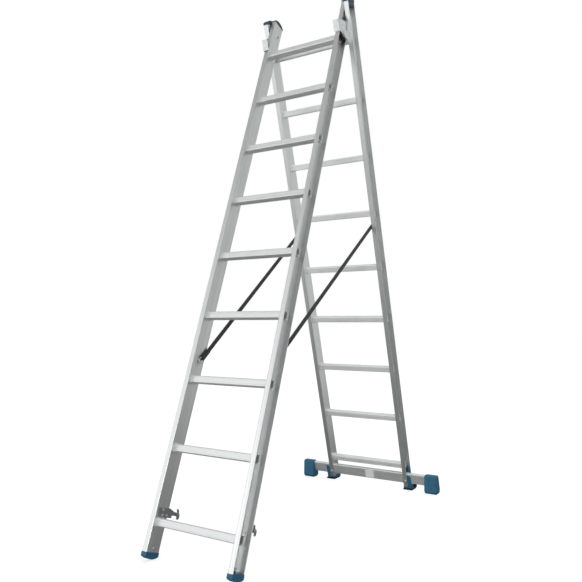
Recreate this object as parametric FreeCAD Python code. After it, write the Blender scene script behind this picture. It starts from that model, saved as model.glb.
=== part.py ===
import FreeCAD, Part
import math
import os

# An aluminium extension ladder in two nine-rung sections, standing as an A-frame: the fly section in
# front, the wider base section with its stabiliser bar behind. Near the top the fly's rails pass
# between the base's rails, through guide brackets that carry the fold axis.
#
# Each section is drawn upright in its own frame: the origin on the fold axis, X across the ladder,
# Y back through it and Z up along its rails. Everything is drawn on the right, and mirrored for the left.

V = FreeCAD.Vector

# stance
FLY_LEAN = 19.1            # degrees, top towards +Y
BASE_LEAN = 17.6           # degrees, top towards -Y
FOLD_HEIGHT = 2268.5

# rungs: square tubes, ribbed on every face, crimped through the webs of the rails
RUNGS = 9
RUNG_PITCH = 280.0
TOP_RUNG_DROP = 23.5       # from the fold axis down to the top rung
RUNG_BACK = 34.0           # from a rail's front face back to the rung's axis
RUNG_SIZE = 30.0
RUNG_CORNER = 4.0
RUNG_WALL = 1.6
BEAD_SIZE = 36.0           # collar pressed up against the inside of the web
BEAD_THICK = 3.0
BEAD_EDGE = 1.2
CRIMP_SIZE = 34.0          # collar turned out against the outside of the web
CRIMP_THICK = 2.0
FLARE_LENGTH = 5.0
FLARE_SIZE = 34.5
RIB_WIDTH = 1.5
RIB_DEPTH = 0.7
TREAD_RIBS = (-9.0, -4.5, 0.0, 4.5, 9.0)
FACE_RIBS = (-8.0, 8.0)

# rails: channels with their open side outwards and a thickened lip on each flange
RAIL_DEPTH = 70.0
WALL = 2.0
LIP_THICK = 3.2
LIP_WIDTH = 4.0
RAIL_ROUND = 2.5
LIP_ROUND = 1.0
FLY_INNER = 188.0          # half the clear width between the fly's webs
FLY_FLANGE = 22.5
FLY_FRONT = -35.0          # the fly's front face lies this far from the fold axis
FLY_BOTTOM = -2382.5
FLY_TOP = 189.0            # the crown of the rounded end
BASE_INNER = 214.5
BASE_FLANGE = 24.0
BASE_FRONT = 37.0
BASE_BOTTOM = -2374.5
BASE_TOP = 152.0

# end caps and the fly's feet
CAP_WRAP = 1.0
PLUG_GAP = 3.6             # from a rail's front and back faces in to the plug
PLUG_SIDE_GAP = 0.3        # between the plug and the web
PLUG_LENGTH = 26.0
BASE_CAP_SKIRT = 5.0
BASE_CAP_EDGE = 5.0
BASE_CAP_CROWN = 17.0
FLY_END_ROUND = 56.0       # radius of the fly rail's rounded upper end
FLY_CAP_RIM = 3.0
FLY_CAP_SKIRT = 2.0
FOOT_SKIRT = 11.0
FOOT_ROCKER = 73.0         # radius of the fly foot's convex sole
FOOT_GROOVE = 2.4
FOOT_GROOVE_ANGLES = (-18.0, -6.0, 6.0, 18.0)
FOOT_RIVET_UP = 24.0
FOOT_TAB = 2.0             # the plug's thin tab under the rivet's head
FOOT_TAB_REACH = 6.5

# stabiliser bar, through both rails of the base
BAR_SETBACK = 4.0
BAR_DEPTH = 20.0
BAR_HEIGHT = 57.0
BAR_CORNER = 4.0
BAR_WALL = 2.0
BAR_HALF = 400.0
BAR_UP = 19.0              # from the rails' lower ends to the bar's lower face
CAP_INNER = 339.0
CAP_OUTER = 409.0
CAP_BEVEL = 5.0
# the block on the bar's end, standing: y from the bar's axis, and height above the floor
CAP_OUTLINE = ((-25, 10), (-25, 90), (-18, 98), (8, 98), (12, 94), (36, 22), (32, 5), (25, 0), (-15, 0))
BOLT_R = 4.0
BOLT_HEAD_R = 7.0
BOLT_HEAD = 4.5
BOLT_ACROSS = 12.5         # from the web's inner face out to the bolt
BOLT_ABOVE_BAR = 14.0
NUT_R = 7.5
NUT_THICK = 6.0
LABEL_WIDTH = 50.0
LABEL_HEIGHT = 46.0
LABEL_THICK = 0.4
LABEL_CENTRE = 14.0

# base feet: plastic blocks in the channels, with rubber soles
SHOE_OUT = 261.0
SHOE_OUT_DEPTH = 30.0      # of the part that stands out past the flanges
SHOE_HEIGHT = 64.0
SHOE_GAP = 1.5
SHOE_ROUND = 5.0
SHOE_BELOW = 60.0          # how far the block is drawn below the rail before the sole trims it
SOLE_THICK = 9.0
SOLE_INNER = 213.7
SOLE_OUT = 262.0
SOLE_TOE = 4.0             # how far the sole's toe stands out in front of the rail
SOLE_TOE_LIFT = 4.0
HEEL_HEIGHT = 30.0
HEEL_THICK = 6.0
HEEL_LIFT = 8.0
HEEL_SET = 10.0            # from the heel's inside corner forward to the flat of the sole
TONGUE = (95.0, 106.0, -2301.0, -2285.0)   # y and z limits of the foot's snap tongue
TONGUE_PROUD = 6.0
TONGUE_LEAF = 6.0          # thickness of the spring leaf that carries the tongue

# guide brackets, liners, cheeks and the sliding pivot shoes
PLATE = 2.0
LINER = 1.2
LIP_INNER = 184.0
LIP_FRONT = -43.0
BRACKET_LOW = 10.0
BRACKET_HIGH = 63.0
BRACKET_BACK = 90.0
BRACKET_STEP = 16.0
BRACKET_BEND = 1.9
BRACKET_CORNER = 4.0
GUSSET = ((44.0, -44.0), (8.0, -20.0), (-12.0, -14.0), (-22.0, 2.0))   # below the plate, as (y, z)
FLAT_HEAD = 1.0
LINER_FRONT = -38.0
LINER_BACK = 30.0
LINER_LOW = 13.0
LINER_TAB = (11.0, 30.0, 60.0, 75.0)       # y and z limits of the tab over the plate's top edge
TRUNNION_R = 7.0
RUNNING = 0.05
SHOE_INNER = 198.0
SHOE_FACE = 210.2
SHOE_HALF_DEPTH = 31.4
SHOE_HALF_LENGTH = 24.0
SHOE_BEVEL = 5.0
CHEEK_FACE = 221.0
CHEEK_BORE = 218.0
CHEEK_R = 15.0
CHEEK_LOW = -46.0
CHEEK_GAP = 0.4            # to the rail's front face and to the bracket's plate
CHEEK_KNEE = (-8.0, -13.0)
TRUNNION_END = 217.5
BRACKET_RIVETS = (22.5, 44.5)
BRACKET_RIVET_Y = 72.0

# hooks that catch a base rung, and their sprung latches
HOOK_THICK = 3.0
HOOK_LOWER = 14.0          # the fly drops this far from the aligned position to hook on
HOOK_ROOM = 0.9            # clear space each side of a hooked rung
HOOK_SEAT_Y = BASE_FRONT + RUNG_BACK
HOOK_OUTLINE = ((-27.0, -2244.0), (-27.0, -2214.0), (-24.0, -2211.0), (38.0, -2209.0), (66.0, -2219.0),
                (92.0, -2221.0), (97.0, -2227.0), (97.0, -2241.0), (94.0, -2245.0), (HOOK_SEAT_Y, -2245.0),
                (HOOK_SEAT_Y, -2244.0))
HOOK_RIVETS = ((0.0, -2217.5), (0.0, -2236.5), (25.0, -2236.0))
LATCH_Y = 84.0
LATCH_Z = -2226.0
LATCH_PIN_R = 3.0
LATCH_GAP = 0.3
LATCH_THICK = 3.0
LATCH_EYE_R = 7.0
LATCH_PIN_HEAD_R = 5.5
LATCH_PIN_HEAD = 1.6
LATCH_OUTLINE = ((77.0, -2226.0), (81.0, -2217.0), (77.0, -2214.0), (76.0, -2209.0), (80.0, -2206.0),
                 (86.0, -2208.0), (90.0, -2218.0), (97.5, -2227.0), (97.5, -2240.0), (94.5, -2245.4),
                 (89.0, -2245.4), (89.0, -2231.5))

# rivets
RIVET_R = 2.6
RIVET_HEAD_R = 5.5
RIVET_HEAD = 2.6
DOME = 0.7                 # a domed head's edge radius, as a share of the head's height

# spreader straps of flat webbing
STRAP_WIDTH = 22.0
STRAP_THICK = 2.2
STRAP_LOW_Z = -1627.5      # on the fly
STRAP_HIGH_Z = -918.5      # on the base
STRAP_HIGH_Y = 72.0
RING_R = 11.0
RING_WIRE = 2.0
EYE_HOLE_R = 3.2
EYE_X = 181.0
EYE_REACH = 5.0
EYE_HALF_WIDTH = 7.0
EYE_HALF_THICK = 3.0
EYE_FOOT = 13.0
EYE_FOOT_CORNER = 4.0
RING_CLEARANCE = 0.5
STRAP_TAIL = 14.0          # past the anchor's rivet
ANCHOR_PLATE = 2.0
ANCHOR_HALF_WIDTH = 15.0
ANCHOR_HALF_HEIGHT = 18.0
ANCHOR_CORNER = 5.0
ANCHOR_HEAD_R = 8.5
ANCHOR_ROOM = 1.0

# stop bolts above the guides, which keep the fly from dropping out
STOP_Z = 110.5
STOP_Y = 10.0
STOP_OUT = 206.0
STOP_NUT = 5.0


def box(x0, x1, y0, y1, z0, z1):
    return Part.makeBox(x1 - x0, y1 - y0, z1 - z0, V(x0, y0, z0))


def plate(points, x0, x1):
    """A flat plate: an outline of (y, z) points, thickened along X."""
    ring = [V(x0, y, z) for y, z in points]
    return Part.Face(Part.makePolygon(ring + ring[:1])).extrude(V(x1 - x0, 0, 0))


def round_bar(radius, x0, x1, y=0.0, z=0.0):
    return Part.makeCylinder(radius, x1 - x0, V(x0, y, z), V(1, 0, 0))


def fillet(shape, radius, wanted):
    """Round the straight or curved edges whose middle passes the test."""
    edges = [e for e in shape.Edges if wanted(e.CenterOfMass, e)]
    return shape.makeFillet(radius, edges)


def chamfer(shape, size, wanted):
    edges = [e for e in shape.Edges if wanted(e.CenterOfMass, e)]
    return shape.makeChamfer(size, edges)


def near(a, b):
    return abs(a - b) < 0.01


def domed(head, height, on_rim):
    """Round a flat head's outer rim."""
    return fillet(head, height * DOME, lambda c, e: on_rim(c) and len(e.Vertexes) == 1)


def square_bar(depth, height, corner, x0, x1, y, z):
    """A bar along X with a rounded rectangular section centred on (y, z)."""
    bar = box(x0, x1, y - depth / 2, y + depth / 2, z - height / 2, z + height / 2)
    return fillet(bar, corner, lambda c, e: near(c.x, (x0 + x1) / 2))


def square_ring(size, x, y, z):
    """The outline of a rounded square across X, for a loft."""
    slab = square_bar(size, size, RUNG_CORNER, x, x + 1.0, y, z)
    ends = [f for f in slab.Faces if near(f.CenterOfMass.x, x)]
    return ends[0].OuterWire


def mirrored(shape):
    return shape.mirror(V(0, 0, 0), V(1, 0, 0))


def rung_heights():
    return [-TOP_RUNG_DROP - (RUNGS - 1 - i) * RUNG_PITCH for i in range(RUNGS)]


def rivet(x0, x1, y, z):
    """A dome-headed rivet along X, with its heads outside x0 and x1."""
    body = round_bar(RIVET_R, x0, x1, y, z)
    for x, way in ((x0, -1), (x1, 1)):
        head = Part.makeCylinder(RIVET_HEAD_R, RIVET_HEAD, V(x, y, z), V(way, 0, 0))
        tip = x + way * RIVET_HEAD
        head = domed(head, RIVET_HEAD, lambda c: near(c.x, tip))
        body = body.fuse(head)
    return body.removeSplitter()


# ---- rails ---------------------------------------------------------------------------------------

def rail_blank(inner, flange, front, bottom, top):
    tip = inner + flange
    web = inner + WALL
    back = front + RAIL_DEPTH
    neck = tip - LIP_WIDTH - (LIP_THICK - WALL)
    shoulder = tip - LIP_WIDTH
    outline = [(inner, front), (tip, front), (tip, front + LIP_THICK), (shoulder, front + LIP_THICK),
               (neck, front + WALL), (web, front + WALL), (web, back - WALL), (neck, back - WALL),
               (shoulder, back - LIP_THICK), (tip, back - LIP_THICK), (tip, back), (inner, back)]
    ring = [V(x, y, bottom) for x, y in outline]
    blank = Part.Face(Part.makePolygon(ring + ring[:1])).extrude(V(0, 0, top - bottom))
    middle = (top + bottom) / 2
    blank = fillet(blank, RAIL_ROUND, lambda c, e: near(c.z, middle) and near(c.x, inner))
    return fillet(blank, LIP_ROUND, lambda c, e: near(c.z, middle) and near(c.x, tip))


def rung_hole(inner, y, z):
    return square_bar(RUNG_SIZE, RUNG_SIZE, RUNG_CORNER, inner - WALL, inner + 2 * WALL, y, z)


def fly_end(x0, x1, grown):
    """The cylinder that rounds the upper end of the fly's rail, grown outwards."""
    return round_bar(FLY_END_ROUND + grown, x0, x1, 0, FLY_TOP - FLY_END_ROUND)


def fly_shoulder():
    """The height at which the fly rail's rounded end meets its front and back faces."""
    half = RAIL_DEPTH / 2
    return FLY_TOP - FLY_END_ROUND + math.sqrt(FLY_END_ROUND ** 2 - half ** 2)


def fly_rail():
    rail = rail_blank(FLY_INNER, FLY_FLANGE, FLY_FRONT, FLY_BOTTOM, FLY_TOP)
    shoulder = fly_shoulder()
    tip = FLY_INNER + FLY_FLANGE
    end = rail_envelope(FLY_INNER, FLY_FLANGE, FLY_FRONT, shoulder, FLY_TOP)
    rail = rail.cut(end.cut(fly_end(FLY_INNER, tip, 0)))
    holes = [rung_hole(FLY_INNER, FLY_FRONT + RUNG_BACK, z) for z in rung_heights()]
    inner, outer = FLY_INNER - WALL, FLY_INNER + 2 * WALL
    holes += [round_bar(RIVET_R, inner, outer, y, z) for y, z in HOOK_RIVETS]
    holes.append(round_bar(RIVET_R, inner, outer, 0, STRAP_LOW_Z))
    holes.append(round_bar(BOLT_R, inner, outer, STOP_Y, STOP_Z))
    holes.append(round_bar(RIVET_R, inner, outer, 0, FLY_BOTTOM + FOOT_RIVET_UP))
    return rail.cut(holes)


def bar_centre():
    """The stabiliser bar's axis, as (y, z) in the base's frame."""
    return BASE_FRONT + BAR_SETBACK + BAR_DEPTH / 2, BASE_BOTTOM + BAR_UP + BAR_HEIGHT / 2


def bolt_place():
    """The clamping bolt's axis, as (x, z) in the base's frame; it runs along Y."""
    return BASE_INNER + BOLT_ACROSS, BASE_BOTTOM + BAR_UP + BOLT_ABOVE_BAR


def bolt_shank(radius):
    x, z = bolt_place()
    return Part.makeCylinder(radius, RAIL_DEPTH, V(x, BASE_FRONT, z), V(0, 1, 0))


def solid_bar():
    y, z = bar_centre()
    return square_bar(BAR_DEPTH, BAR_HEIGHT, BAR_CORNER, -BAR_HALF, BAR_HALF, y, z)


def tongue(x0, x1):
    y0, y1, z0, z1 = TONGUE
    return box(x0, x1, y0, y1, z0, z1)


def base_rail():
    rail = rail_blank(BASE_INNER, BASE_FLANGE, BASE_FRONT, BASE_BOTTOM, BASE_TOP)
    holes = [rung_hole(BASE_INNER, BASE_FRONT + RUNG_BACK, z) for z in rung_heights()]
    inner, outer = BASE_INNER - WALL, BASE_INNER + 2 * WALL
    holes += [round_bar(RIVET_R, inner, outer, BRACKET_RIVET_Y, z) for z in BRACKET_RIVETS]
    holes.append(round_bar(RIVET_R, inner, outer, STRAP_HIGH_Y, STRAP_HIGH_Z))
    holes += [solid_bar(), bolt_shank(BOLT_R), tongue(inner, outer)]
    return rail.cut(holes)


# ---- rungs ---------------------------------------------------------------------------------------

def rung(inner, front):
    """One rung at the height of the fold axis; copies of it are moved down the rails."""
    y = front + RUNG_BACK
    outer = inner + WALL
    end = outer + CRIMP_THICK
    half = RUNG_SIZE / 2
    tube = square_bar(RUNG_SIZE, RUNG_SIZE, RUNG_CORNER, -end, end, y, 0)
    reach = inner - BEAD_THICK
    grooves = []
    for offset in TREAD_RIBS:
        for z in (half - RIB_DEPTH, -half - RIB_DEPTH):
            grooves.append(box(-reach, reach, y + offset - RIB_WIDTH / 2, y + offset + RIB_WIDTH / 2,
                               z, z + 2 * RIB_DEPTH))
    for offset in FACE_RIBS:
        for face in (y - half, y + half):
            grooves.append(box(-reach, reach, face - RIB_DEPTH, face + RIB_DEPTH,
                               offset - RIB_WIDTH / 2, offset + RIB_WIDTH / 2))
    tube = tube.cut(grooves)
    bead = square_bar(BEAD_SIZE, BEAD_SIZE, RUNG_CORNER, reach, inner, y, 0)
    bead = chamfer(bead, BEAD_EDGE, lambda c, e: near(c.x, reach))
    crimp = square_bar(CRIMP_SIZE, CRIMP_SIZE, RUNG_CORNER, outer, end, y, 0)
    flare = Part.makeLoft([square_ring(RUNG_SIZE, end, y, 0),
                           square_ring(FLARE_SIZE, end + FLARE_LENGTH, y, 0)], True, True)
    ends = bead.fuse([crimp, flare])
    tube = tube.fuse([ends, mirrored(ends)])
    bore = RUNG_SIZE - 2 * RUNG_WALL
    mouth_size = FLARE_SIZE - 2 * RUNG_WALL
    mouth = Part.makeLoft([square_ring(bore, end, y, 0),
                           square_ring(mouth_size, end + FLARE_LENGTH, y, 0)], True, True)
    inside = square_bar(bore, bore, RUNG_CORNER - RUNG_WALL / 2, -end, end, y, 0)
    return tube.cut([inside, mouth, mirrored(mouth)]).removeSplitter()


# ---- caps and the fly's feet ---------------------------------------------------------------------

def rail_envelope(inner, flange, front, z0, z1):
    return box(inner, inner + flange, front, front + RAIL_DEPTH, z0, z1)


def rail_plug(inner, flange, front, z0, z1):
    y0, y1 = front + PLUG_GAP, front + RAIL_DEPTH - PLUG_GAP
    return box(inner + WALL + PLUG_SIDE_GAP, inner + flange, y0, y1, z0, z1)


def top_cap(inner, flange, front, end, skirt, edge, crown):
    """A moulded cap with an arched top, a skirt round the rail and a plug in its channel."""
    y0 = front - CAP_WRAP
    y1 = front + RAIL_DEPTH + CAP_WRAP
    x0 = inner - CAP_WRAP
    x1 = inner + flange + CAP_WRAP
    sides = [(y0, end + edge), (y0, end - skirt), (y1, end - skirt), (y1, end + edge)]
    corners = [V(x0, y, z) for y, z in sides]
    arch = Part.Arc(corners[3], V(x0, (y0 + y1) / 2, end + crown), corners[0]).toShape()
    outline = Part.Wire(Part.makePolygon(corners).Edges + [arch])
    dome = Part.Face(outline).extrude(V(x1 - x0, 0, 0))
    dome = fillet(dome, CAP_WRAP, lambda c, e: c.z > end + edge + 0.1)
    dome = dome.cut(rail_envelope(inner, flange, front, end - skirt - 1, end))
    return dome.fuse(rail_plug(inner, flange, front, end - PLUG_LENGTH, end)).removeSplitter()


def fly_top_cap():
    """A thin rim over the rounded end of the fly's rail, with a plug in the channel."""
    x0 = FLY_INNER - CAP_WRAP
    x1 = FLY_INNER + FLY_FLANGE + CAP_WRAP
    shoulder = fly_shoulder()
    half = RAIL_DEPTH / 2 + CAP_WRAP
    block = box(x0, x1, -half, half, shoulder - FLY_CAP_SKIRT, FLY_TOP + FLY_CAP_RIM)
    envelope = rail_envelope(FLY_INNER, FLY_FLANGE, FLY_FRONT, shoulder - FLY_CAP_SKIRT, FLY_TOP)
    inside = envelope.common(fly_end(x0, x1, 0))
    rim = block.common(fly_end(x0, x1, FLY_CAP_RIM)).cut(inside)
    plug = rail_plug(FLY_INNER, FLY_FLANGE, FLY_FRONT, shoulder - PLUG_LENGTH, FLY_TOP)
    return rim.fuse(plug.common(fly_end(x0, x1, FLY_CAP_RIM / 2))).removeSplitter()


def fly_foot():
    """A foot with a convex sole, so that it rolls to the floor at any lean."""
    lean = math.radians(FLY_LEAN)
    centre = -FOLD_HEIGHT / math.cos(lean) + FOOT_ROCKER / math.cos(lean)
    x0 = FLY_INNER - CAP_WRAP
    x1 = FLY_INNER + FLY_FLANGE + CAP_WRAP
    top = FLY_BOTTOM + FOOT_SKIRT
    block = box(x0, x1, FLY_FRONT - CAP_WRAP, FLY_FRONT + RAIL_DEPTH + CAP_WRAP, centre - FOOT_ROCKER, top)
    foot = block.common(round_bar(FOOT_ROCKER, x0, x1, 0, centre))
    grooves = []
    for angle in FOOT_GROOVE_ANGLES:
        turn = math.radians(angle)
        y = FOOT_ROCKER * math.sin(turn)
        z = centre - FOOT_ROCKER * math.cos(turn)
        grooves.append(round_bar(FOOT_GROOVE / 2, x0, x1, y, z))
    foot = foot.cut(grooves + [rail_envelope(FLY_INNER, FLY_FLANGE, FLY_FRONT, FLY_BOTTOM, top + 1)])
    plug = rail_plug(FLY_INNER, FLY_FLANGE, FLY_FRONT, FLY_BOTTOM, top)
    rivet_z = FLY_BOTTOM + FOOT_RIVET_UP
    face = FLY_INNER + WALL + PLUG_SIDE_GAP
    tab = box(face, foot_tab_face(), -FOOT_TAB_REACH, FOOT_TAB_REACH, top, rivet_z + FOOT_TAB_REACH)
    tab = tab.cut(round_bar(RIVET_R, face, foot_tab_face(), 0, rivet_z))
    return foot.fuse([plug, tab]).removeSplitter()


def foot_tab_face():
    return FLY_INNER + WALL + PLUG_SIDE_GAP + FOOT_TAB


# ---- stabiliser bar and the base's feet ----------------------------------------------------------

def stabiliser_bar():
    y, z = bar_centre()
    inside = square_bar(BAR_DEPTH - 2 * BAR_WALL, BAR_HEIGHT - 2 * BAR_WALL, BAR_CORNER - BAR_WALL,
                        -BAR_HALF, BAR_HALF, y, z)
    return solid_bar().cut([inside, bolt_shank(BOLT_R), mirrored(bolt_shank(BOLT_R))])


def bar_label():
    """A blank film label on the flat of the bar's front face."""
    y = BASE_FRONT + BAR_SETBACK
    z = bar_centre()[1]
    return box(LABEL_CENTRE - LABEL_WIDTH / 2, LABEL_CENTRE + LABEL_WIDTH / 2, y - LABEL_THICK, y,
               z - LABEL_HEIGHT / 2, z + LABEL_HEIGHT / 2)


def stabiliser_cap():
    """A block on the bar's end with an upright front, a sloping back and a flat sole, drawn standing."""
    y, z = bar_centre()
    centre = on_base(Part.Vertex(V(0, y, z))).Point
    block = plate([(centre.y + dy, height) for dy, height in CAP_OUTLINE], CAP_INNER, CAP_OUTER)
    block = chamfer(block, CAP_BEVEL, lambda c, e: near(c.x, CAP_OUTER) or near(c.x, CAP_INNER))
    return block.cut(on_base(solid_bar()))


def bolt_and_nut():
    x, z = bolt_place()
    head = Part.makeCylinder(BOLT_HEAD_R, BOLT_HEAD, V(x, BASE_FRONT, z), V(0, -1, 0))
    head = domed(head, BOLT_HEAD, lambda c: near(c.y, BASE_FRONT - BOLT_HEAD))
    back = BASE_FRONT + RAIL_DEPTH
    turns = [k * math.pi / 3 for k in range(7)]
    corners = [V(x + NUT_R * math.cos(turn), back, z + NUT_R * math.sin(turn)) for turn in turns]
    nut = Part.Face(Part.makePolygon(corners)).extrude(V(0, NUT_THICK, 0))
    return bolt_shank(BOLT_R).fuse([head, nut]).removeSplitter()


def base_foot():
    """A plastic block in the channel's end, standing out past the flanges, round the bar."""
    low, high = BASE_BOTTOM, BASE_BOTTOM + SHOE_HEIGHT
    tip = BASE_INNER + BASE_FLANGE
    front, back = BASE_FRONT + SHOE_GAP, BASE_FRONT + RAIL_DEPTH - SHOE_GAP
    inside = rail_plug(BASE_INNER, BASE_FLANGE, BASE_FRONT, low, high)
    outside = box(tip, SHOE_OUT, front, front + SHOE_OUT_DEPTH, low - SHOE_BELOW, high)
    outside = fillet(outside, SHOE_ROUND, lambda c, e: near(c.x, SHOE_OUT) and c.z > low - SHOE_BELOW)
    under = box(BASE_INNER, tip, front, back, low - SHOE_BELOW, low)
    root = BASE_INNER + WALL + PLUG_SIDE_GAP
    catch = tongue(BASE_INNER - TONGUE_PROUD, root)
    leaf = box(root, root + TONGUE_LEAF, TONGUE[0], BASE_FRONT + RAIL_DEPTH - PLUG_GAP, high, TONGUE[3])
    block = inside.fuse([outside, under, catch, leaf]).cut([solid_bar(), bolt_shank(BOLT_R)])
    above_sole = box(0, 2 * SHOE_OUT, 0, FOLD_HEIGHT, SOLE_THICK, FOLD_HEIGHT)
    return on_base(block).common(above_sole).removeSplitter()


def base_sole():
    """The rubber sole under a base foot, flat on the floor, with a heel that turns up behind."""
    rear = on_base(Part.Vertex(V(0, BASE_FRONT + RAIL_DEPTH - SHOE_GAP, BASE_BOTTOM))).Point
    front = on_base(Part.Vertex(V(0, BASE_FRONT, BASE_BOTTOM))).Point
    slope = math.tan(math.radians(BASE_LEAN))
    behind = rear.y + slope * (rear.z - SOLE_THICK)
    heel = rear.y - slope * (HEEL_HEIGHT - rear.z)
    toe = front.y - SOLE_TOE
    outline = [(toe, SOLE_THICK), (toe, SOLE_TOE_LIFT), (front.y, 0), (behind - HEEL_SET, 0),
               (behind + HEEL_THICK, HEEL_LIFT), (heel + HEEL_THICK, HEEL_HEIGHT), (heel, HEEL_HEIGHT),
               (behind, SOLE_THICK)]
    return plate(outline, SOLE_INNER, SOLE_OUT)


# ---- guide brackets and the fold axis ------------------------------------------------------------

def guide_bracket():
    """A bent plate on the web of the base rail that wraps forward round the fly's rail."""
    face = BASE_INNER
    outline = [(LIP_FRONT, BRACKET_LOW), (LIP_FRONT, BRACKET_HIGH), (BRACKET_BACK, BRACKET_HIGH),
               (BRACKET_BACK, BRACKET_STEP), (GUSSET[0][0], BRACKET_STEP)] + list(GUSSET)
    side = plate(outline, face - PLATE, face)
    lip = box(LIP_INNER, face, LIP_FRONT, LIP_FRONT + PLATE, BRACKET_LOW, BRACKET_HIGH)
    bracket = side.fuse(lip).removeSplitter()
    middle = LIP_FRONT + PLATE / 2
    bracket = fillet(bracket, BRACKET_BEND, lambda c, e: near(c.x, face) and near(c.y, LIP_FRONT))
    bracket = fillet(bracket, BRACKET_CORNER, lambda c, e: near(c.x, LIP_INNER) and near(c.y, middle))
    x0, x1 = face - 2 * PLATE, face + PLATE
    holes = [round_bar(TRUNNION_R + RUNNING, x0, x1)]
    holes += [round_bar(RIVET_R, x0, x1, BRACKET_RIVET_Y, z) for z in BRACKET_RIVETS]
    return bracket.cut(holes)


def bracket_liner():
    """The plastic glide pad inside the bracket, with a tab that hooks over the plate's top edge."""
    inner = BASE_INNER - PLATE - LINER
    pad = box(inner, BASE_INNER - PLATE, LINER_FRONT, LINER_BACK, LINER_LOW, BRACKET_HIGH + LINER)
    y0, y1, z0, z1 = LINER_TAB
    tab = box(inner, BASE_INNER + LINER, y0, y1, BRACKET_HIGH, z1)
    lock = box(BASE_INNER, BASE_INNER + LINER, y0, y1, z0, BRACKET_HIGH)
    return pad.fuse([tab, lock]).removeSplitter()


def bracket_rivet(z):
    inner = BASE_INNER - PLATE
    outer = BASE_INNER + WALL
    flat = round_bar(RIVET_HEAD_R, inner - FLAT_HEAD, inner, BRACKET_RIVET_Y, z)
    shank = round_bar(RIVET_R, inner, outer, BRACKET_RIVET_Y, z)
    dome = round_bar(RIVET_HEAD_R, outer, outer + RIVET_HEAD, BRACKET_RIVET_Y, z)
    dome = domed(dome, RIVET_HEAD, lambda c: near(c.x, outer + RIVET_HEAD))
    return flat.fuse([shank, dome]).removeSplitter()


def pivot_cheek():
    """The plastic bearing block on the bracket's outer side that closes over the trunnion."""
    back = BASE_FRONT - CHEEK_GAP
    top = BRACKET_LOW - CHEEK_GAP
    wedge = plate([(back, CHEEK_LOW), (back, top), (-CHEEK_R, top), (-CHEEK_R, 0), CHEEK_KNEE],
                  BASE_INNER, CHEEK_FACE)
    above = box(0, CHEEK_FACE, -CHEEK_R, CHEEK_R, top, CHEEK_R)
    boss = round_bar(CHEEK_R, BASE_INNER, CHEEK_FACE).cut(above)
    block = wedge.fuse(boss).removeSplitter()
    return block.cut(round_bar(TRUNNION_R + RUNNING, BASE_INNER, CHEEK_BORE))


def pivot_shoe():
    """The nylon shoe that slides in the fly's channel, with the trunnion that it folds on."""
    depth, length = SHOE_HALF_DEPTH, SHOE_HALF_LENGTH
    block = box(SHOE_INNER, SHOE_FACE, -depth, depth, -length, length)
    block = chamfer(block, SHOE_BEVEL, lambda c, e: near(abs(c.y), depth) and near(abs(c.z), length))
    return block.fuse(round_bar(TRUNNION_R, SHOE_FACE, TRUNNION_END)).removeSplitter()


# ---- hooks and latches ---------------------------------------------------------------------------

def hook():
    """A plate on the inside of the fly's web, with a slot that drops over a base rung."""
    seat_z = rung_heights()[0] + HOOK_LOWER
    reach = RUNG_SIZE / 2 + HOOK_ROOM
    inner, outer = FLY_INNER - 2 * HOOK_THICK, FLY_INNER + HOOK_THICK
    body = plate(HOOK_OUTLINE, FLY_INNER - HOOK_THICK, FLY_INNER)
    slot = square_bar(2 * reach, 2 * RUNG_SIZE + 2 * reach, RUNG_CORNER, inner, outer,
                      HOOK_SEAT_Y, seat_z - RUNG_SIZE)
    holes = [round_bar(RIVET_R, inner, outer, y, z) for y, z in HOOK_RIVETS]
    return body.cut([slot, round_bar(LATCH_PIN_R, inner, outer, LATCH_Y, LATCH_Z)] + holes)


def latch_faces():
    outer = FLY_INNER - HOOK_THICK - LATCH_GAP
    return outer - LATCH_THICK, outer


def hook_latch():
    """The lever beside the hook: a finger above, and a toe that closes the slot under the rung."""
    x0, x1 = latch_faces()
    lever = plate(LATCH_OUTLINE, x0, x1)
    eye = round_bar(LATCH_EYE_R, x0, x1, LATCH_Y, LATCH_Z)
    lever = lever.fuse(eye).removeSplitter()
    return lever.cut(round_bar(LATCH_PIN_R + RUNNING, x0, x1, LATCH_Y, LATCH_Z))


def latch_pin():
    x0, x1 = latch_faces()
    end = x0 - LATCH_GAP
    shank = round_bar(LATCH_PIN_R, end, FLY_INNER, LATCH_Y, LATCH_Z)
    inside = round_bar(LATCH_PIN_HEAD_R, end - LATCH_PIN_HEAD, end, LATCH_Y, LATCH_Z)
    outside = round_bar(LATCH_PIN_HEAD_R, FLY_INNER, FLY_INNER + LATCH_PIN_HEAD, LATCH_Y, LATCH_Z)
    return shank.fuse([inside, outside]).removeSplitter()


# ---- straps --------------------------------------------------------------------------------------

def strap_ends():
    """The middles of the right strap's two ends, standing: near the fly's eye, and on the base's web."""
    low = on_fly(Part.Vertex(V(EYE_X, 0, STRAP_LOW_Z))).Point
    high_x = BASE_INNER - ANCHOR_PLATE - STRAP_THICK / 2
    high = on_base(Part.Vertex(V(high_x, STRAP_HIGH_Y, STRAP_HIGH_Z))).Point
    return low, high


def pull_angle():
    """The strap's direction as seen along X, in degrees up from +Y."""
    low, high = strap_ends()
    return math.degrees(math.atan2(high.z - low.z, high.y - low.y))


def at_eye(shape):
    """Stand a piece drawn with the strap's pull along +Y at the fly's eye."""
    low = strap_ends()[0]
    shape = shape.rotated(V(0, 0, 0), V(1, 0, 0), pull_angle())
    return shape.translated(V(0, low.y, low.z))


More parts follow.
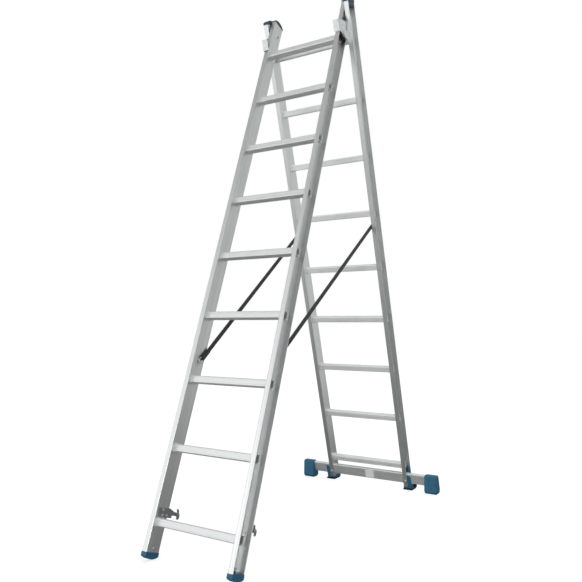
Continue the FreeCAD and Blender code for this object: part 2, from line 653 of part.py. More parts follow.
def strap_eye():
    """A cleat riveted to the fly's web, drilled for the ring."""
    inner = FLY_INNER - PLATE
    cleat = box(EYE_X - EYE_REACH, inner, -EYE_HALF_WIDTH, EYE_HALF_WIDTH, -EYE_HALF_THICK, EYE_HALF_THICK)
    hole = Part.makeCylinder(EYE_HOLE_R, 2 * EYE_HALF_THICK, V(EYE_X, 0, -EYE_HALF_THICK), V(0, 0, 1))
    cleat = cleat.cut(hole)
    foot = box(inner, FLY_INNER, -EYE_FOOT, EYE_FOOT, -EYE_FOOT, EYE_FOOT)
    foot = fillet(foot, EYE_FOOT_CORNER, lambda c, e: near(abs(c.y), EYE_FOOT) and near(abs(c.z), EYE_FOOT))
    shank = round_bar(RIVET_R, FLY_INNER, FLY_INNER + WALL)
    dome = round_bar(RIVET_HEAD_R, FLY_INNER + WALL, FLY_INNER + WALL + RIVET_HEAD)
    return at_eye(cleat.fuse([foot, shank, dome]).removeSplitter())


def strap_ring():
    return at_eye(Part.makeTorus(RING_R, RING_WIRE, V(EYE_X, RING_R, 0), V(1, 0, 0)))


def strap():
    """The flat webbing, from the far side of the ring to the anchor on the base."""
    low, high = strap_ends()
    along = (high - low).normalize()
    across = along.cross(V(1, 0, 0)).normalize()
    through = across.cross(along).normalize()
    start = low + along * (2 * RING_R + RING_WIRE + RING_CLEARANCE)
    side, depth = across * (STRAP_WIDTH / 2), through * (STRAP_THICK / 2)
    corners = [start + side + depth, start - side + depth, start - side - depth, start + side - depth]
    band = Part.Face(Part.makePolygon(corners + corners[:1])).extrude(high + along * STRAP_TAIL - start)
    y0, y1 = STRAP_HIGH_Y - RAIL_DEPTH, STRAP_HIGH_Y + RAIL_DEPTH
    z0, z1 = STRAP_HIGH_Z - RAIL_DEPTH, STRAP_HIGH_Z + RAIL_DEPTH
    outside = box(BASE_INNER - ANCHOR_PLATE, BASE_INNER + BASE_FLANGE, y0, y1, z0, z1)
    shank = round_bar(RIVET_R, 0, BASE_INNER, STRAP_HIGH_Y, STRAP_HIGH_Z)
    return band.cut([on_base(outside), on_base(shank), on_base(anchor_head())])


def anchor_head():
    """The large head that holds the strap against its plate."""
    x = BASE_INNER - ANCHOR_PLATE - STRAP_THICK - ANCHOR_ROOM
    head = round_bar(ANCHOR_HEAD_R, x - RIVET_HEAD, x, STRAP_HIGH_Y, STRAP_HIGH_Z)
    return domed(head, RIVET_HEAD, lambda c: near(c.x, x - RIVET_HEAD))


def strap_anchor():
    """The plate under the strap's upper end, and the large-headed rivet through both."""
    inner = BASE_INNER - ANCHOR_PLATE
    outer = BASE_INNER + WALL
    y, z = STRAP_HIGH_Y, STRAP_HIGH_Z
    pad = box(inner, BASE_INNER, y - ANCHOR_HALF_WIDTH, y + ANCHOR_HALF_WIDTH,
              z - ANCHOR_HALF_HEIGHT, z + ANCHOR_HALF_HEIGHT)
    pad = fillet(pad, ANCHOR_CORNER, lambda c, e: near(c.x, (inner + BASE_INNER) / 2))
    shank = round_bar(RIVET_R, inner - STRAP_THICK - ANCHOR_ROOM, outer, y, z)
    dome = round_bar(RIVET_HEAD_R, outer, outer + RIVET_HEAD, y, z)
    return pad.fuse([shank, dome, anchor_head()]).removeSplitter()


def stop_bolt():
    """A bolt through the fly's web whose long head stops the pivot shoe."""
    shank = round_bar(BOLT_R, FLY_INNER, FLY_INNER + WALL, STOP_Y, STOP_Z)
    nut = round_bar(BOLT_HEAD_R, FLY_INNER - STOP_NUT, FLY_INNER, STOP_Y, STOP_Z)
    head = round_bar(BOLT_HEAD_R, FLY_INNER + WALL, STOP_OUT, STOP_Y, STOP_Z)
    return shank.fuse([nut, head]).removeSplitter()


# ---- standing the sections up --------------------------------------------------------------------

def stand(shape, lean):
    """Lean a section's piece about the fold axis, and lift it to the fold axis's height."""
    return shape.rotated(V(0, 0, 0), V(1, 0, 0), lean).translated(V(0, 0, FOLD_HEIGHT))


def on_fly(shape):
    return stand(shape, -FLY_LEAN)


def on_base(shape):
    return stand(shape, BASE_LEAN)


def pair(name, shape):
    """A right-hand piece and its mirror image, each in its own node."""
    return {name + "_left": mirrored(shape), name + "_right": shape}


def group(shapes):
    """Identical right-hand fasteners and their mirror images, in one node."""
    return Part.makeCompound(shapes + [mirrored(s) for s in shapes])


def build():
    nodes = {}
    nodes.update(pair("base_rail", on_base(base_rail())))
    nodes.update(pair("fly_rail", on_fly(fly_rail())))
    base_bar = rung(BASE_INNER, BASE_FRONT)
    fly_bar = rung(FLY_INNER, FLY_FRONT)
    for number, z in enumerate(rung_heights(), start=1):
        nodes["base_rung_%d" % number] = on_base(base_bar.translated(V(0, 0, z)))
        nodes["fly_rung_%d" % number] = on_fly(fly_bar.translated(V(0, 0, z)))
    base_cap = top_cap(BASE_INNER, BASE_FLANGE, BASE_FRONT, BASE_TOP,
                       BASE_CAP_SKIRT, BASE_CAP_EDGE, BASE_CAP_CROWN)
    nodes.update(pair("base_top_cap", on_base(base_cap)))
    nodes.update(pair("fly_top_cap", on_fly(fly_top_cap())))
    nodes.update(pair("fly_foot", on_fly(fly_foot())))
    foot_rivet = rivet(FLY_INNER, foot_tab_face(), 0, FLY_BOTTOM + FOOT_RIVET_UP)
    nodes["foot_rivets"] = group([on_fly(foot_rivet)])
    nodes.update(pair("base_foot", base_foot()))
    nodes.update(pair("base_sole", base_sole()))
    nodes["stabiliser_bar"] = on_base(stabiliser_bar())
    nodes.update(pair("stabiliser_cap", stabiliser_cap()))
    nodes["stabiliser_bolts"] = group([on_base(bolt_and_nut())])
    nodes["bar_label"] = on_base(bar_label())
    nodes.update(pair("guide_bracket", on_base(guide_bracket())))
    nodes.update(pair("bracket_liner", on_base(bracket_liner())))
    nodes["bracket_rivets"] = group([on_base(bracket_rivet(z)) for z in BRACKET_RIVETS])
    nodes.update(pair("pivot_cheek", on_base(pivot_cheek())))
    nodes.update(pair("pivot_shoe", on_fly(pivot_shoe())))
    nodes.update(pair("hook", on_fly(hook())))
    nodes["hook_rivets"] = group([on_fly(rivet(FLY_INNER - HOOK_THICK, FLY_INNER + WALL, y, z))
                                  for y, z in HOOK_RIVETS])
    nodes.update(pair("hook_latch", on_fly(hook_latch())))
    nodes["latch_pins"] = group([on_fly(latch_pin())])
    nodes.update(pair("strap", strap()))
    nodes["strap_anchors"] = group([on_base(strap_anchor())])
    nodes["strap_eyes"] = group([strap_eye()])
    nodes["strap_rings"] = group([strap_ring()])
    nodes["stop_bolts"] = group([on_fly(stop_bolt())])
    return nodes


def main():
    nodes = build()
    extent = Part.makeCompound(list(nodes.values())).BoundBox
    centre = V(0, -(extent.YMin + extent.YMax) / 2, 0)
    os.makedirs("parts", exist_ok=True)
    for name, shape in nodes.items():
        shape.translated(centre).exportStep("parts/%s.step" % name)
    print("fold axis at y = %.3f, z = %.3f" % (centre.y, FOLD_HEIGHT))


main()
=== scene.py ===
"""Looks for an aluminium extension ladder that stands as an A-frame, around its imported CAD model."""
import math

import bmesh
import bpy
from mathutils import Matrix, Vector


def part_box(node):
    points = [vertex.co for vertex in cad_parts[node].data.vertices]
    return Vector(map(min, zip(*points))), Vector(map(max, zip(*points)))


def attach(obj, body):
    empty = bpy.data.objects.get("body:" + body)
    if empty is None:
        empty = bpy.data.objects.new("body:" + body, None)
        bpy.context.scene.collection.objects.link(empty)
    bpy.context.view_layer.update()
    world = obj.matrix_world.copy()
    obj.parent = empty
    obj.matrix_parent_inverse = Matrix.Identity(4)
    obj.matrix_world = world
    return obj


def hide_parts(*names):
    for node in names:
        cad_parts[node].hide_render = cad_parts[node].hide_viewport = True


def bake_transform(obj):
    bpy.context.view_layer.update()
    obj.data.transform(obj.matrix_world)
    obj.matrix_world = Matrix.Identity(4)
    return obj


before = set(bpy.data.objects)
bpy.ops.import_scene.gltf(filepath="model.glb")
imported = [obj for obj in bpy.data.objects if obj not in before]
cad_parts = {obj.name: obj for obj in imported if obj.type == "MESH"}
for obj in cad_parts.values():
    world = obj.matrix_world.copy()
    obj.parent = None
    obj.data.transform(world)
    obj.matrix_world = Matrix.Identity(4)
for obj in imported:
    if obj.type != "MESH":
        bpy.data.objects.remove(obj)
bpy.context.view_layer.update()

MM = 0.001
SIDES = ("left", "right")

# camera, at the viewing angle of the reference
CAMERA_PLACE = (1.4921, -2.5552, 0.8551)
CAMERA_YAW = 31.46         # degrees left of straight along +Y
CAMERA_PITCH = 3.86
CAMERA_ROLL = 0.56
CAMERA_LENS = 38.32        # mm
CAMERA_SENSOR = 36.0       # mm

# stage and light
FLOOR_SIZE = 80.0
FLOOR_PAINTED_SHADE_TONE = 0.20          # the floor's tone as the metal reflects it, around its darkest spot: painted shade, which the camera never sees directly
FLOOR_FAR = 0.80           # and far out
# the middle of the painted shade on the floor, which the metal reflects
FLOOR_PAINTED_SHADE_SPOT = (-1.0, 1.0, 0.0)
FLOOR_FADE = (0.8, 7.0)    # metres over which it turns from one to the other
FLOOR_SEEN = (0.50, 0.52)  # its tone as the camera sees it, between its darker and paler patches
FLOOR_GLOW = 0.72
DOME_BRIGHT_SIDE = (-0.47, -0.85, 0.12)
# each stop is the cosine to the bright side, and the dome's tone there
DOME_TONES = (
    (-1.0, 0.60), (-0.3, 0.58), (0.3, 0.34), (0.80, 0.34), (0.90, 0.60), (0.96, 1.2), (1.0, 1.4),
)
# each sun: its name, the direction it comes from, its strength and its spread in degrees
SUNS = (
    ("key", (-0.5, -0.8, 0.3), 0.28, 60),
    ("fill", (0.26, -0.95, 0.22), 0.75, 16),
    ("top", (0.1, 0.25, 1.0), 0.45, 70),
)

PLASTIC_IOR = 1.45         # also of the clear part of every other surface

# straps of flat webbing
STRAP_WIDTH = 22 * MM
STRAP_THICK = 2.2 * MM
STRAP_ROUND = 0.8 * MM
STRAP_STEP = 8 * MM

# where the straps run; the places are on the right side, and the left side mirrors them
FOLD_AXIS = Vector((0, -9.189 * MM, 2268.5 * MM))
EYE_PLACE = Vector((181 * MM, 0, -1627.5 * MM))             # from the fold axis, along the fly
ANCHOR_PLACE = Vector((211.4 * MM, 72 * MM, -918.5 * MM))   # from the fold axis, along the base
ANCHOR_TAIL = 14 * MM
JUNCTION = 0.46            # the share of the way from the anchor at which the strap's two halves meet

# the sewn loop at the fly's end, measured along the strap from the eye
BAND_START = 40 * MM       # where the loop closes behind the ring
RING_FAR = 22 * MM         # from the eye to the ring's far wire
LOOP_REACH = 3.4 * MM      # from that wire to the middle of the webbing round it
LOOP_LAYER = 2.5 * MM      # between the middles of the two sewn layers
LOOP_END = 78 * MM
LOOP_NECK = 0.85           # the share of BAND_START at which the two layers part
LOOP_TURN = range(60, 301, 20)   # degrees round the ring's wire
STITCH_ROWS = (-7.5 * MM, -2.5 * MM, 2.5 * MM, 7.5 * MM)
STITCH_SPAN = (46 * MM, 72 * MM)
STITCH_LENGTH = 2.6 * MM
STITCH_PITCH = 3.7 * MM
STITCH_R = 0.45 * MM


# ---- the sections' directions, read from the frame ------------------------------------------------

def centre(node):
    """The middle of a node's box."""
    low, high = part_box(node)
    return (low + high) / 2


def section_lean(section):
    """A section's angle about X from upright, from its first rung to its last."""
    rise = centre(section + "_rung_9") - centre(section + "_rung_1")
    return math.atan2(-rise.y, rise.z)


LEAN = {section: section_lean(section) for section in ("fly", "base")}


# ---- material building blocks ---------------------------------------------------------------------

class Shader:
    """A new material's node tree, with short calls for the few node types used here."""

    def __init__(self, name, metallic=0.0):
        self.material = bpy.data.materials.new(name)
        self.material.use_nodes = True
        self.tree = self.material.node_tree
        self.surface = self.tree.nodes["Principled BSDF"]
        self.surface.inputs["Metallic"].default_value = metallic
        self.surface.inputs["IOR"].default_value = PLASTIC_IOR

    def node(self, kind, **settings):
        made = self.tree.nodes.new(kind)
        for key, value in settings.items():
            setattr(made, key, value)
        return made

    def link(self, source, target):
        self.tree.links.new(source, target)

    def feed(self, socket, value):
        """Link a socket to another one, or set it to a plain value."""
        if isinstance(value, bpy.types.NodeSocket):
            self.link(value, socket)
        else:
            socket.default_value = value

    def place(self, lean, size, origin=(0, 0, 0)):
        """The object's coordinates from origin, turned upright by lean and counted in steps of size."""
        coordinates = self.node("ShaderNodeTexCoord")
        mapping = self.node("ShaderNodeMapping", vector_type="TEXTURE")
        mapping.inputs["Location"].default_value = origin
        mapping.inputs["Rotation"].default_value = (lean, 0, 0)
        mapping.inputs["Scale"].default_value = size
        self.link(coordinates.outputs["Object"], mapping.inputs["Vector"])
        return mapping.outputs["Vector"]

    def noise(self, place, detail=3.0, roughness=0.5, scale=1.0):
        made = self.node("ShaderNodeTexNoise")
        made.inputs["Scale"].default_value = scale
        made.inputs["Detail"].default_value = detail
        made.inputs["Roughness"].default_value = roughness
        self.link(place, made.inputs["Vector"])
        return made.outputs["Fac"]

    def ramp(self, value, *stops):
        """A colour ramp; each stop is (position, colour or grey)."""
        made = self.node("ShaderNodeValToRGB")
        elements = made.color_ramp.elements
        while len(elements) < len(stops):
            elements.new(0.5)
        for element, (position, colour) in zip(elements, stops):
            grey = isinstance(colour, (int, float))
            element.position = position
            element.color = (colour, colour, colour, 1) if grey else (*colour, 1)
        self.link(value, made.inputs["Fac"])
        return made.outputs["Color"]

    def mix(self, kind, amount, first, second):
        """Mix two colours; amount is a number or a socket, and so is each colour."""
        made = self.node("ShaderNodeMix", data_type="RGBA", blend_type=kind)
        self.feed(made.inputs[0], amount)
        self.feed(made.inputs[6], first)
        self.feed(made.inputs[7], second)
        return made.outputs[2]

    def bump(self, height, distance, strength):
        made = self.node("ShaderNodeBump")
        made.inputs["Distance"].default_value = distance
        made.inputs["Strength"].default_value = strength
        self.link(height, made.inputs["Height"])
        return made.outputs["Normal"]

    def math(self, operation, *values):
        made = self.node("ShaderNodeMath", operation=operation)
        for socket, value in zip(made.inputs, values):
            self.feed(socket, value)
        return made.outputs["Value"]

    def wave(self, coordinate, pitch):
        """A rounded rib of the given pitch, from 0 in the grooves to 1 on the crests."""
        turns = self.math("MULTIPLY", coordinate, math.pi / pitch)
        return self.math("ABSOLUTE", self.math("SINE", turns))

    def finish(self, colour, roughness, normal=None):
        """Link the finished colour, roughness and normal to the surface, and return the material."""
        for name, socket in (("Base Color", colour), ("Roughness", roughness), ("Normal", normal)):
            if socket is not None:
                self.link(socket, self.surface.inputs[name])
        return self.material


def extrusion(name, lean, along, tone=0.78, rough=(0.28, 0.42), metallic=1.0):
    """Mill-finished extruded aluminium: fine die lines along one axis, clouding and a few scuffs."""
    shader = Shader(name, metallic=metallic)
    lines = [0.0012, 0.0012, 0.0012]
    lines[along] = 0.9
    streaks = [0.009, 0.009, 0.009]
    streaks[along] = 1.6
    die_lines = shader.noise(shader.place(lean, lines), detail=4.0, roughness=0.7)
    bands = shader.noise(shader.place(lean, streaks), detail=2.0)
    clouds = shader.noise(shader.place(lean, (0.05, 0.05, 0.12)), detail=4.0)
    scuffs = shader.noise(shader.place(lean, (0.004, 0.03, 0.006)), detail=6.0, roughness=0.75)
    dark = (tone * 0.94, tone * 0.96, tone * 0.955)
    light = (tone * 1.03, tone * 1.05, tone * 1.04)
    colour = shader.ramp(bands, (0.35, dark), (0.65, light))
    colour = shader.mix("MULTIPLY", 0.35, colour, shader.ramp(clouds, (0.3, 0.86), (0.7, 1.0)))
    colour = shader.mix("MULTIPLY", 0.35, colour, shader.ramp(scuffs, (0.66, 1.0), (0.74, 0.72)))
    mixed = shader.mix("ADD", 0.45, die_lines, clouds)
    roughness = shader.ramp(mixed, (0.3, rough[0]), (0.9, rough[1]))
    normal = shader.bump(die_lines, 0.00012, 0.45)
    return shader.finish(colour, roughness, normal)


def plate_steel(name, base, rough=(0.34, 0.5)):
    """Zinc-plated plate: a faint spangle, clouding and small marks."""
    shader = Shader(name, metallic=0.9)
    place = shader.place(0.0, (0.01, 0.01, 0.01))
    cells = shader.node("ShaderNodeTexVoronoi", feature="F1")
    cells.inputs["Scale"].default_value = 1.6
    shader.link(place, cells.inputs["Vector"])
    clouds = shader.noise(place, detail=5.0, scale=0.7)
    fine = shader.noise(place, detail=4.0, scale=14.0)
    spangle = shader.ramp(cells.outputs["Color"], (0.0, 0.86), (1.0, 1.0))
    dull = [c * 0.86 for c in base]
    bright = [min(1.0, c * 1.08) for c in base]
    colour = shader.ramp(clouds, (0.3, dull), (0.7, bright))
    colour = shader.mix("MULTIPLY", 0.8, colour, spangle)
    roughness = shader.ramp(clouds, (0.3, rough[0]), (0.75, rough[1]))
    return shader.finish(colour, roughness, shader.bump(fine, 0.0001, 0.5))


def moulded(name, base, grain=0.0006, rough=(0.42, 0.6), lift=1.5):
    """Moulded plastic or rubber: fine grain, flow clouding and paler rubbed patches."""
    shader = Shader(name)
    fine = shader.noise(shader.place(0.0, (grain, grain, grain)), detail=3.0)
    clouds = shader.noise(shader.place(0.0, (0.02, 0.02, 0.02)), detail=4.0)
    rubbed = shader.noise(shader.place(0.0, (0.012, 0.02, 0.007)), detail=6.0, roughness=0.7)
    colour = shader.ramp(clouds, (0.3, [c * 0.8 for c in base]), (0.7, [c * 1.15 for c in base]))
    pale = [min(1.0, c * lift + 0.012) for c in base]
    colour = shader.mix("MIX", shader.ramp(rubbed, (0.60, 0.0), (0.78, 0.55)), colour, (*pale, 1))
    roughness = shader.ramp(rubbed, (0.3, rough[0]), (0.7, rough[1]))
    return shader.finish(colour, roughness, shader.bump(fine, 0.00012, 0.5))


def label_film(name):
    """Blank adhesive film, slightly yellowed and rippled."""
    shader = Shader(name)
    clouds = shader.noise(shader.place(0.0, (0.02, 0.02, 0.02)), detail=4.0)
    ripple = shader.noise(shader.place(0.0, (0.006, 0.006, 0.006)), detail=2.0)
    colour = shader.ramp(clouds, (0.3, (0.92, 0.90, 0.92)), (0.7, (0.99, 0.97, 0.98)))
    roughness = shader.ramp(clouds, (0.3, 0.30), (0.7, 0.42))
    return shader.finish(colour, roughness, shader.bump(ripple, 0.0002, 0.4))


def webbing(name):
    """Woven strap: warp ribs along it and weft picks across it, from the strip's own UV in metres."""
    shader = Shader(name)
    shader.surface.inputs["Sheen Weight"].default_value = 0.25
    shader.surface.inputs["Sheen Roughness"].default_value = 0.5
    coordinates = shader.node("ShaderNodeTexCoord")
    split = shader.node("ShaderNodeSeparateXYZ")
    shader.link(coordinates.outputs["UV"], split.inputs["Vector"])
    warp = shader.wave(split.outputs["X"], 1.5 * MM)
    weft = shader.wave(split.outputs["Y"], 1.1 * MM)
    weave = shader.math("MULTIPLY", warp, weft)
    fuzz = shader.noise(shader.place(0.0, (0.004, 0.004, 0.004)), detail=5.0)
    colour = shader.ramp(weave, (0.05, (0.006, 0.006, 0.007)), (0.8, (0.030, 0.031, 0.034)))
    colour = shader.mix("MIX", shader.ramp(fuzz, (0.5, 0.0), (0.9, 0.5)), colour, (0.06, 0.06, 0.065, 1))
    roughness = shader.ramp(weave, (0.0, 0.85), (1.0, 0.6))
    return shader.finish(colour, roughness, shader.bump(weave, 0.0004, 0.9))


MATERIALS = {
    "fly_rail": extrusion("fly rail aluminium", LEAN["fly"], 2),
    "base_rail": extrusion("base rail aluminium", LEAN["base"], 2, tone=0.84),
    "fly_rung": extrusion("fly rung aluminium", 0.0, 0, tone=0.88, rough=(0.38, 0.54), metallic=0.72),
    "base_rung": extrusion("base rung aluminium", 0.0, 0, tone=0.94, rough=(0.40, 0.56), metallic=0.55),
    "bar": extrusion("bar aluminium", 0.0, 0, tone=0.92, rough=(0.34, 0.5), metallic=0.8),
    "bracket": plate_steel("bracket steel", (0.78, 0.82, 0.81), (0.28, 0.42)),
    "hook": plate_steel("hook steel", (0.36, 0.41, 0.39), (0.38, 0.55)),
    "fastener": plate_steel("fastener steel", (0.72, 0.73, 0.72), (0.22, 0.38)),
    "blue": moulded("teal plastic", (0.028, 0.150, 0.265)),
    "cap": moulded("slate plastic", (0.040, 0.085, 0.115)),
    "dark": moulded("dark plastic", (0.022, 0.045, 0.06)),
    "nylon": moulded("black nylon", (0.012, 0.012, 0.013)),
    "rubber": moulded("sole rubber", (0.012, 0.012, 0.012), grain=0.0012, rough=(0.7, 0.85)),
    "label": label_film("label film"),
    "webbing": webbing("black webbing"),
    "thread": moulded("sewing thread", (0.05, 0.05, 0.055), grain=0.0004, rough=(0.5, 0.7)),
}

# the look of every CAD node, by how its name starts; the first row that fits is taken
NODE_LOOKS = (
    ("fly_rail", "fly_rail"), ("base_rail", "base_rail"), ("fly_rung", "fly_rung"),
    ("base_rung", "base_rung"), ("base_top_cap", "cap"), ("fly_top_cap", "dark"),
    ("fly_foot", "blue"), ("base_foot", "blue"), ("base_sole", "rubber"),
    ("stabiliser_cap", "blue"), ("stabiliser_bar", "bar"), ("bar_label", "label"),
    ("guide_bracket", "bracket"), ("bracket_liner", "nylon"), ("pivot_cheek", "bracket"),
    ("pivot_", "nylon"), ("hook_rivets", "fastener"), ("hook", "hook"),
    ("strap_anchors", "fastener"), ("strap_eyes", "fastener"), ("strap_rings", "fastener"),
    ("strap_", "webbing"), ("", "fastener"),
)


def dress_nodes():
    """Give every CAD node its finished material."""
    for name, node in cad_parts.items():
        look = next(look for start, look in NODE_LOOKS if name.startswith(start))
        node.data.materials.clear()
        node.data.materials.append(MATERIALS[look])


# ---- straps ---------------------------------------------------------------------------------------

def on_section(section, place):
    """A place given from the fold axis along a section, in the frame of the standing ladder."""
    return Matrix.Rotation(LEAN[section], 3, "X") @ place + FOLD_AXIS


def ribbon(name, spine, across, facing):
    """Webbing swept along a spine, with its width along across and its first side toward facing."""
    half, thick, bevel = STRAP_WIDTH / 2, STRAP_THICK / 2, STRAP_ROUND
    outline = [
        (-half + bevel, thick), (half - bevel, thick), (half, thick - bevel), (half, -thick + bevel),
        (half - bevel, -thick), (-half + bevel, -thick), (-half, -thick + bevel), (-half, thick - bevel),
    ]
    mesh = bmesh.new()
    uv = mesh.loops.layers.uv.new("webbing")
    rings = []
    lengths = []
    length = 0.0
    for i, place in enumerate(spine):
        ahead = (spine[min(i + 1, len(spine) - 1)] - spine[max(i - 1, 0)]).normalized()
        out = across.cross(ahead).normalized()
        facing = out if out.dot(facing) >= 0 else -out
        length += (place - spine[max(i - 1, 0)]).length
        lengths.append(length)
        rings.append([mesh.verts.new(place + across * a + facing * b) for a, b in outline])
    count = len(outline)
    for i in range(len(rings) - 1):
        for k in range(count):
            n = (k + 1) % count
            face = mesh.faces.new((rings[i][k], rings[i][n], rings[i + 1][n], rings[i + 1][k]))
            face.smooth = False
            marks = ((outline[k][0], lengths[i]), (outline[n][0], lengths[i]),
                     (outline[n][0], lengths[i + 1]), (outline[k][0], lengths[i + 1]))
            for loop, (u, v) in zip(face.loops, marks):
                loop[uv].uv = (u, v)
    for ring in (rings[0], rings[-1]):
        cap = mesh.faces.new(ring)
        for loop, (a, b) in zip(cap.loops, outline):
            loop[uv].uv = (a, b)
    bmesh.ops.recalc_face_normals(mesh, faces=mesh.faces)
    return placed(name, mesh, "webbing")


def placed(name, mesh, look):
    """Make one of the strap's pieces out of a bmesh, in the given look."""
    data = bpy.data.meshes.new(name)
    mesh.to_mesh(data)
    mesh.free()
    made = bpy.data.objects.new(name, data)
    bpy.context.scene.collection.objects.link(made)
    data.materials.append(MATERIALS[look])
    return made


def straight(start, end):
    """Points along a straight run of webbing, close enough together for it to bend."""
    steps = max(2, round((end - start).length / STRAP_STEP))
    return [start.lerp(end, i / steps) for i in range(steps + 1)]


def loop_path():
    """The sewn loop round the ring, as (distance from the eye, offset to the strap's inner side)."""
    neck = BAND_START * LOOP_NECK
    path = [(far, LOOP_LAYER) for far in (LOOP_END, LOOP_END * 0.75, BAND_START)]
    path.append((neck, LOOP_LAYER * 1.1))
    turns = [math.radians(a) for a in LOOP_TURN]
    path += [(RING_FAR + LOOP_REACH * math.cos(a), LOOP_REACH * math.sin(a)) for a in turns]
    return path + [(neck, -LOOP_LAYER * 0.5), (BAND_START, 0.0)]


def stitch(mesh, start, end):
    """One short thread lying on the webbing."""
    along = end - start
    turn = along.to_track_quat("Z", "Y").to_matrix().to_4x4()
    stretch = Matrix.Diagonal((1, 1, along.length / (2 * STITCH_R), 1))
    lay = Matrix.Translation((start + end) / 2) @ turn @ stretch
    bmesh.ops.create_uvsphere(mesh, u_segments=6, v_segments=4, radius=STITCH_R, matrix=lay)


def add_strap(side, way):
    """One spreader strap: two halves that meet, the loop round the ring, and the loop's stitching."""
    mirror = Matrix.Diagonal((way, 1, 1))
    eye = mirror @ on_section("fly", EYE_PLACE)
    anchor = mirror @ on_section("base", ANCHOR_PLACE)
    along = (anchor - eye).normalized()
    across = Vector((0, along.z, -along.y)).normalized()
    inward = across.cross(along).normalized()
    inward = inward if inward.x * way < 0 else -inward
    band_start = eye + along * BAND_START
    junction = anchor.lerp(eye, JUNCTION)
    lower = ribbon("strap_lower_" + side, straight(band_start, junction), across, inward)
    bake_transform(lower)
    upper = ribbon("strap_upper_" + side, straight(junction, anchor + along * ANCHOR_TAIL), across, inward)
    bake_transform(upper)
    spine = [eye + along * far + inward * off for far, off in loop_path()]
    loop = ribbon("strap_loop_" + side, spine, across, inward)
    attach(loop, "fly_section")
    threads = bmesh.new()
    face = LOOP_LAYER + STRAP_THICK / 2
    span = STITCH_SPAN[1] - STITCH_SPAN[0]
    for row in STITCH_ROWS:
        for i in range(round(span / STITCH_PITCH)):
            start = eye + along * (STITCH_SPAN[0] + i * STITCH_PITCH) + across * row + inward * face
            stitch(threads, start, start + along * STITCH_LENGTH)
    seam = placed("strap_stitches_" + side, threads, "thread")
    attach(seam, "fly_section")
    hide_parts("strap_" + side)
    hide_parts("strap_" + side)


# ---- stage, light and camera ----------------------------------------------------------------------

def add_floor():
    """A floor that the camera sees pale; the metal reflects it grey, with painted shade darkest around one
    spot.
    """
    bpy.ops.mesh.primitive_grid_add(x_subdivisions=4, y_subdivisions=4, size=FLOOR_SIZE)
    floor = bpy.context.object
    floor.name = "floor"
    shader = Shader("floor")
    grain = shader.noise(shader.place(0.0, (0.4, 0.4, 0.4)), detail=3.0)
    seen = shader.node("ShaderNodeLightPath").outputs["Is Camera Ray"]
    pale = shader.ramp(grain, (0.3, FLOOR_SEEN[0]), (0.7, FLOOR_SEEN[1]))
    # painted shade: for every ray but the camera's, the floor darkens towards one spot, so the metal
    # reflects it as shadow
    distance = shader.node("ShaderNodeVectorMath", operation="LENGTH")
    shader.link(shader.place(0.0, (FLOOR_FADE[1],) * 3, FLOOR_PAINTED_SHADE_SPOT), distance.inputs[0])
    near = FLOOR_FADE[0] / FLOOR_FADE[1]
    reflected = shader.ramp(distance.outputs["Value"], (near, FLOOR_PAINTED_SHADE_TONE), (1.0, FLOOR_FAR))
    shader.finish(shader.mix("MIX", seen, reflected, pale), shader.ramp(grain, (0.3, 0.80), (0.7, 0.9)))
    shader.surface.inputs["Emission Color"].default_value = (1, 1, 1, 1)
    shader.link(shader.math("MULTIPLY", seen, FLOOR_GLOW), shader.surface.inputs["Emission Strength"])
    floor.data.materials.append(shader.material)


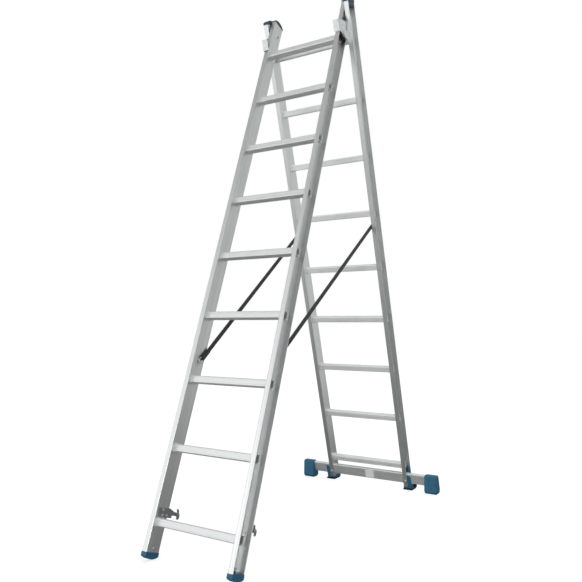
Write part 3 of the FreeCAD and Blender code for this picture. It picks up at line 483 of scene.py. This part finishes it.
def add_world():
    """A studio dome, brightest low in front on the left; the camera sees it white."""
    world = bpy.data.worlds.new("studio")
    bpy.context.scene.world = world
    world.use_nodes = True
    tree = world.node_tree
    place = tree.nodes.new("ShaderNodeTexCoord")
    toward = tree.nodes.new("ShaderNodeVectorMath")
    toward.operation = "DOT_PRODUCT"
    toward.inputs[1].default_value = Vector(DOME_BRIGHT_SIDE).normalized()
    half = tree.nodes.new("ShaderNodeMath")
    half.operation = "MULTIPLY_ADD"
    half.inputs[1].default_value = 0.5
    half.inputs[2].default_value = 0.5
    ramp = tree.nodes.new("ShaderNodeValToRGB")
    for _ in range(len(DOME_TONES) - 2):
        ramp.color_ramp.elements.new(0.5)
    for element, (cosine, grey) in zip(ramp.color_ramp.elements, DOME_TONES):
        element.position = (cosine + 1) / 2
        element.color = (grey, grey * 1.01, grey * 1.015, 1)
    seen = tree.nodes.new("ShaderNodeLightPath")
    blend = tree.nodes.new("ShaderNodeMix")
    blend.data_type = "RGBA"
    blend.inputs[7].default_value = (1, 1, 1, 1)
    tree.links.new(place.outputs["Generated"], toward.inputs[0])
    tree.links.new(toward.outputs["Value"], half.inputs[0])
    tree.links.new(half.outputs["Value"], ramp.inputs["Fac"])
    tree.links.new(ramp.outputs["Color"], blend.inputs[6])
    tree.links.new(seen.outputs["Is Camera Ray"], blend.inputs[0])
    tree.links.new(blend.outputs[2], tree.nodes["Background"].inputs["Color"])


def add_sun(name, source, strength, spread):
    """A broad, soft distant light that comes from the direction source."""
    light = bpy.data.lights.new(name, "SUN")
    light.energy = strength
    light.angle = math.radians(spread)
    lamp = bpy.data.objects.new(name, light)
    bpy.context.scene.collection.objects.link(lamp)
    lamp.rotation_euler = Vector(source).to_track_quat("Z", "Y").to_euler()


def add_camera():
    """The camera, turned by its yaw, then its pitch, then its roll."""
    yaw, pitch, roll = (math.radians(a) for a in (CAMERA_YAW, CAMERA_PITCH, CAMERA_ROLL))
    ahead = Vector((-math.sin(yaw) * math.cos(pitch), math.cos(yaw) * math.cos(pitch), math.sin(pitch)))
    right = Vector((math.cos(yaw), math.sin(yaw), 0))
    up = right.cross(ahead)
    turned_right = right * math.cos(roll) + up * math.sin(roll)
    turned_up = up * math.cos(roll) - right * math.sin(roll)
    camera = bpy.data.objects.new("camera", bpy.data.cameras.new("camera"))
    camera.matrix_world = Matrix((turned_right, turned_up, -ahead)).transposed().to_4x4()
    camera.location = CAMERA_PLACE
    camera.data.lens = CAMERA_LENS
    camera.data.sensor_width = CAMERA_SENSOR
    bpy.context.scene.collection.objects.link(camera)
    bpy.context.scene.camera = camera


dress_nodes()
for side, way in zip(SIDES, (-1, 1)):
    add_strap(side, way)
add_floor()
add_world()
for name, source, strength, spread in SUNS:
    add_sun(name, source, strength, spread)
add_camera()
bpy.context.scene.view_settings.view_transform = "Standard"
